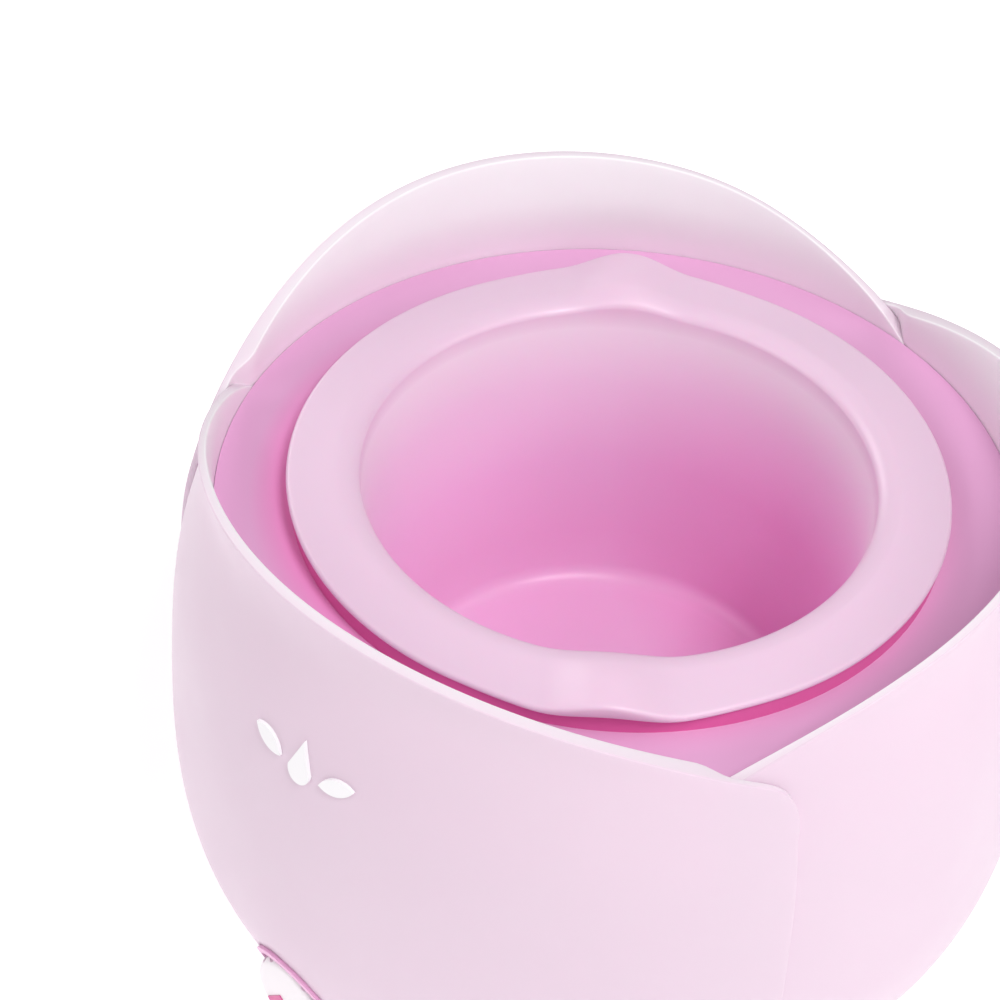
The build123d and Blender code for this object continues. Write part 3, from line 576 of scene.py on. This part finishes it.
def sheet_faces(rows, columns, outer_at, inner_at):
    """Faces of a closed slab made of two grids and the strips that join their edges."""
    faces = []
    for i in range(rows - 1):
        for j in range(columns - 1):
            a, b = i * columns + j, i * columns + j + 1
            c, d = b + columns, a + columns
            faces.append([outer_at + a, outer_at + b, outer_at + c, outer_at + d])
            faces.append([inner_at + a, inner_at + d, inner_at + c, inner_at + b])
    rim = [(0, j) for j in range(columns)]
    rim += [(i, columns - 1) for i in range(1, rows)]
    rim += [(rows - 1, j) for j in range(columns - 2, -1, -1)]
    rim += [(i, 0) for i in range(rows - 2, 0, -1)]
    ids = [i * columns + j for i, j in rim]
    for a, b in zip(ids, ids[1:] + ids[:1]):
        faces.append([outer_at + b, outer_at + a, inner_at + a, inner_at + b])
    return faces


def bore_at_heading(piece, radius, heading):
    """A round hole at the dial's height, straight out from the upright axis."""
    x, y = cos(radians(heading)), sin(radians(heading))
    cut_round_hole(piece, radius, (HOLE_START * x, HOLE_START * y, DIAL_Z),
                   (HOLE_END * x, HOLE_END * y, DIAL_Z))


def make_petals():
    outer, inner = petal_points()
    count = ROWS * COLUMNS
    faces = sheet_faces(ROWS, COLUMNS, 0, count)
    points = np.concatenate([outer.reshape(-1, 3), inner.reshape(-1, 3)])
    for name, turn in (("petal_front", 0), ("petal_right", PETAL_STEP), ("petal_left", -PETAL_STEP)):
        piece = new_piece(name + "_shell", turn_about_z(points, turn), faces, MATERIALS["petal_plastic"],
                          "root", [name])
        add_modifier(piece, "BEVEL", width=EDGE_ROUND * MM, segments=4, limit_method="ANGLE",
                     angle_limit=radians(50))
        if name == "petal_front":
            bore_at_heading(piece, DIAL_HOLE_R, DIAL_HEADING)
            bore_at_heading(piece, LAMP_HOLE_R, LAMP_HEADING)


# Silicone liner.

LINER_MOUTH_R = 54.5
LINER_FLOOR_R = 48.0
LINER_FLOOR_Z = 56.0
LINER_WALL = 2.5
FLOOR_ROUND = 4.0
FLANGE_R = 70.0
FLANGE_TOP_Z = 132.4
FLANGE_BOTTOM_Z = 130.6
MOUTH_RISE = 1.2
LIP_OUT = 5.0
LIP_DOWN = 2.5
GRIP_HEADINGS = (-48.0, 132.0)
GRIP_HEIGHT = 3.6
LIP_SHARE = 0.4            # how much of a grip's rise reaches the mouth's lip
LIP_FADE = 12.0
GRIP_LIFT = 2.0            # how far a grip's underside is raised
GRIP_HALF_WIDTH = 15.0
GRIP_SWELL = 2.0           # how far the edge swells outward at a grip
GRIP_SWELL_ANGLE = 26.0
GRIP_REACH = 60.0          # headings further from a grip than this are left alone
OUTER_CHAMFER = 2.0        # round the outside of the cup's floor
LINER_TURNS = 288


def arc(centre, radius, start, end, count):
    angles = np.radians(np.linspace(start, end, count))
    return [(centre[0] + radius * cos(a), centre[1] + radius * sin(a)) for a in angles]


def line(start, end, count):
    """Points after start, up to and with end."""
    return [tuple(np.array(start) + (np.array(end) - start) * i / count) for i in range(1, count + 1)]


def liner_profile():
    """Closed section of the liner, as (radius, height) from the middle of its floor and back."""
    mouth_z = FLANGE_TOP_Z + MOUTH_RISE
    edge = (FLANGE_TOP_Z - FLANGE_BOTTOM_Z) / 2
    outer_floor_z = LINER_FLOOR_Z - LINER_WALL
    points = [(0.0, LINER_FLOOR_Z)]
    points += line(points[-1], (LINER_FLOOR_R - FLOOR_ROUND, LINER_FLOOR_Z), 14)
    points += arc((LINER_FLOOR_R - FLOOR_ROUND, LINER_FLOOR_Z + FLOOR_ROUND), FLOOR_ROUND, -90, 0, 8)[1:]
    points += line(points[-1], (LINER_MOUTH_R, mouth_z - LIP_DOWN), 24)
    quarter = np.radians(np.linspace(180, 90, 14))[1:]
    points += [(LINER_MOUTH_R + LIP_OUT * (1 + cos(a)), mouth_z - LIP_DOWN * (1 - sin(a))) for a in quarter]
    points += line(points[-1], (FLANGE_R - edge, FLANGE_TOP_Z), 10)
    points += arc((FLANGE_R - edge, FLANGE_TOP_Z - edge), edge, 90, -90, 9)[1:]
    points += line(points[-1], (LINER_MOUTH_R + LINER_WALL, FLANGE_BOTTOM_Z), 5)
    outer_r = LINER_FLOOR_R + LINER_WALL
    points += line(points[-1], (outer_r, outer_floor_z + OUTER_CHAMFER), 16)
    points += line(points[-1], (outer_r - OUTER_CHAMFER, outer_floor_z), 2)
    points += line(points[-1], (0.0, outer_floor_z), 8)
    return np.array(points)


def liner_points(profile, turns):
    """The section turned about Z, with the two grips raised across the flange."""
    heading = np.linspace(0, 360, turns, endpoint=False)
    radius, height = profile[:, 0][None, :], profile[:, 1][None, :]
    middle_z = (FLANGE_TOP_Z + FLANGE_BOTTOM_Z) / 2
    upper = np.arange(len(profile)) <= np.argmax(profile[:, 0])
    on_lip = smoothstep(FLANGE_BOTTOM_Z - LIP_FADE, FLANGE_BOTTOM_Z, height)
    on_flange = smoothstep(LINER_MOUTH_R - 1, LINER_MOUTH_R + 2 * LIP_OUT, radius)
    on_flange = LIP_SHARE * on_lip + (1 - LIP_SHARE) * on_flange
    under_flange = smoothstep(LINER_MOUTH_R + LINER_WALL + 1, FLANGE_R - 3, radius)
    on_edge = smoothstep(LINER_MOUTH_R + LIP_OUT, FLANGE_R, radius) * (height > middle_z - 2)
    points_r = np.repeat(radius, turns, axis=0)
    points_z = np.repeat(height, turns, axis=0)
    for grip in GRIP_HEADINGS:
        away = ((heading - grip + 180) % 360 - 180)[:, None]
        across = radius * np.sin(np.radians(away)) / GRIP_HALF_WIDTH
        wave = 0.5 * (1 + np.cos(pi * np.clip(across, -1, 1))) * (np.abs(away) < GRIP_REACH)
        rise = np.where(upper[None, :], GRIP_HEIGHT * on_flange, GRIP_LIFT * under_flange)
        points_z = points_z + rise * wave
        swell = 0.5 * (1 + np.cos(pi * np.clip(away / GRIP_SWELL_ANGLE, -1, 1)))
        points_r = points_r + GRIP_SWELL * swell * on_edge
    a = np.radians(heading)[:, None]
    return np.stack([points_r * np.cos(a), points_r * np.sin(a), points_z], axis=-1)


def make_liner():
    profile = liner_profile()
    points = liner_points(profile, LINER_TURNS)
    count = len(profile)
    faces = []
    for i in range(LINER_TURNS):
        after = (i + 1) % LINER_TURNS
        for j in range(count - 1):
            faces.append([i * count + j, after * count + j, after * count + j + 1, i * count + j + 1])
    piece = new_piece("liner_cup", points.reshape(-1, 3), faces, MATERIALS["silicone"], "liner",
                      ["silicone_liner"])


make_petals()
make_liner()
for node in nodes.values():
    for slot in node.material_slots:
        slot.material = MATERIALS[slot.material.name.split(".")[0]]


# Floor, lights and camera.

CAMERA_PLACE = Vector((0.2661, -0.3171, 0.4976))
CAMERA_HEADING = radians(133.43)
CAMERA_DOWN = radians(42.25)
CAMERA_ROLL = radians(2.94)
CAMERA_LENS = 94.3
FLOOR_SIZE = 8.0
FLOOR_GLOW = 0.42
WORLD_STRENGTH = 0.2
LIGHT_AIM = Vector((0, 0, 0.09))
LIGHTS = (                 # name, place, size, power
    ("front_left", (-0.5, -0.9, 0.8), 0.8, 4.3),
    ("right_back", (0.75, 0.45, 0.75), 0.5, 2.4),
    ("left", (-1.0, 0.1, 0.7), 0.6, 3.65),
    ("right", (1.0, -0.2, 0.7), 0.6, 1.75),
    ("right_high", (0.6, -0.2, 1.1), 0.4, 7.2),
    ("overhead", (0.15, 0.1, 1.1), 0.3, 0.4),
)


def make_floor():
    bpy.ops.mesh.primitive_plane_add(size=FLOOR_SIZE, location=(0, 0, 0))
    floor = bpy.context.object
    floor.name = "floor"
    material, _, shader = principled("floor_white", (0.9, 0.9, 0.9), 0.9)
    shader.inputs["Emission Color"].default_value = (1, 1, 1, 1)
    shader.inputs["Emission Strength"].default_value = FLOOR_GLOW
    floor.data.materials.append(material)


def add_area_light(name, place, size, power):
    light = bpy.data.lights.new(name, "AREA")
    light.shape = "DISK"
    light.size = size
    light.energy = power
    lamp = bpy.data.objects.new(name, light)
    lamp.location = place
    lamp.rotation_euler = (LIGHT_AIM - Vector(place)).to_track_quat("-Z", "Y").to_euler()
    bpy.context.scene.collection.objects.link(lamp)


def make_camera():
    forward = Vector((cos(CAMERA_HEADING) * cos(CAMERA_DOWN), sin(CAMERA_HEADING) * cos(CAMERA_DOWN),
                      -sin(CAMERA_DOWN)))
    level_right = forward.cross(Vector((0, 0, 1))).normalized()
    level_up = level_right.cross(forward)
    right = cos(CAMERA_ROLL) * level_right + sin(CAMERA_ROLL) * level_up
    up = -sin(CAMERA_ROLL) * level_right + cos(CAMERA_ROLL) * level_up
    camera = bpy.data.objects.new("camera", bpy.data.cameras.new("camera"))
    camera.data.lens = CAMERA_LENS
    turn = Matrix((right, up, -forward)).transposed().to_4x4()
    camera.matrix_world = Matrix.Translation(CAMERA_PLACE) @ turn
    bpy.context.scene.collection.objects.link(camera)
    bpy.context.scene.camera = camera


make_floor()
make_camera()
for light in LIGHTS:
    add_area_light(*light)
world = bpy.data.worlds.new("world")
bpy.context.scene.world = world
world.use_nodes = True
world.node_tree.nodes["Background"].inputs["Color"].default_value = (1, 1, 1, 1)
world.node_tree.nodes["Background"].inputs["Strength"].default_value = WORLD_STRENGTH
bpy.context.scene.view_settings.view_transform = "Standard"
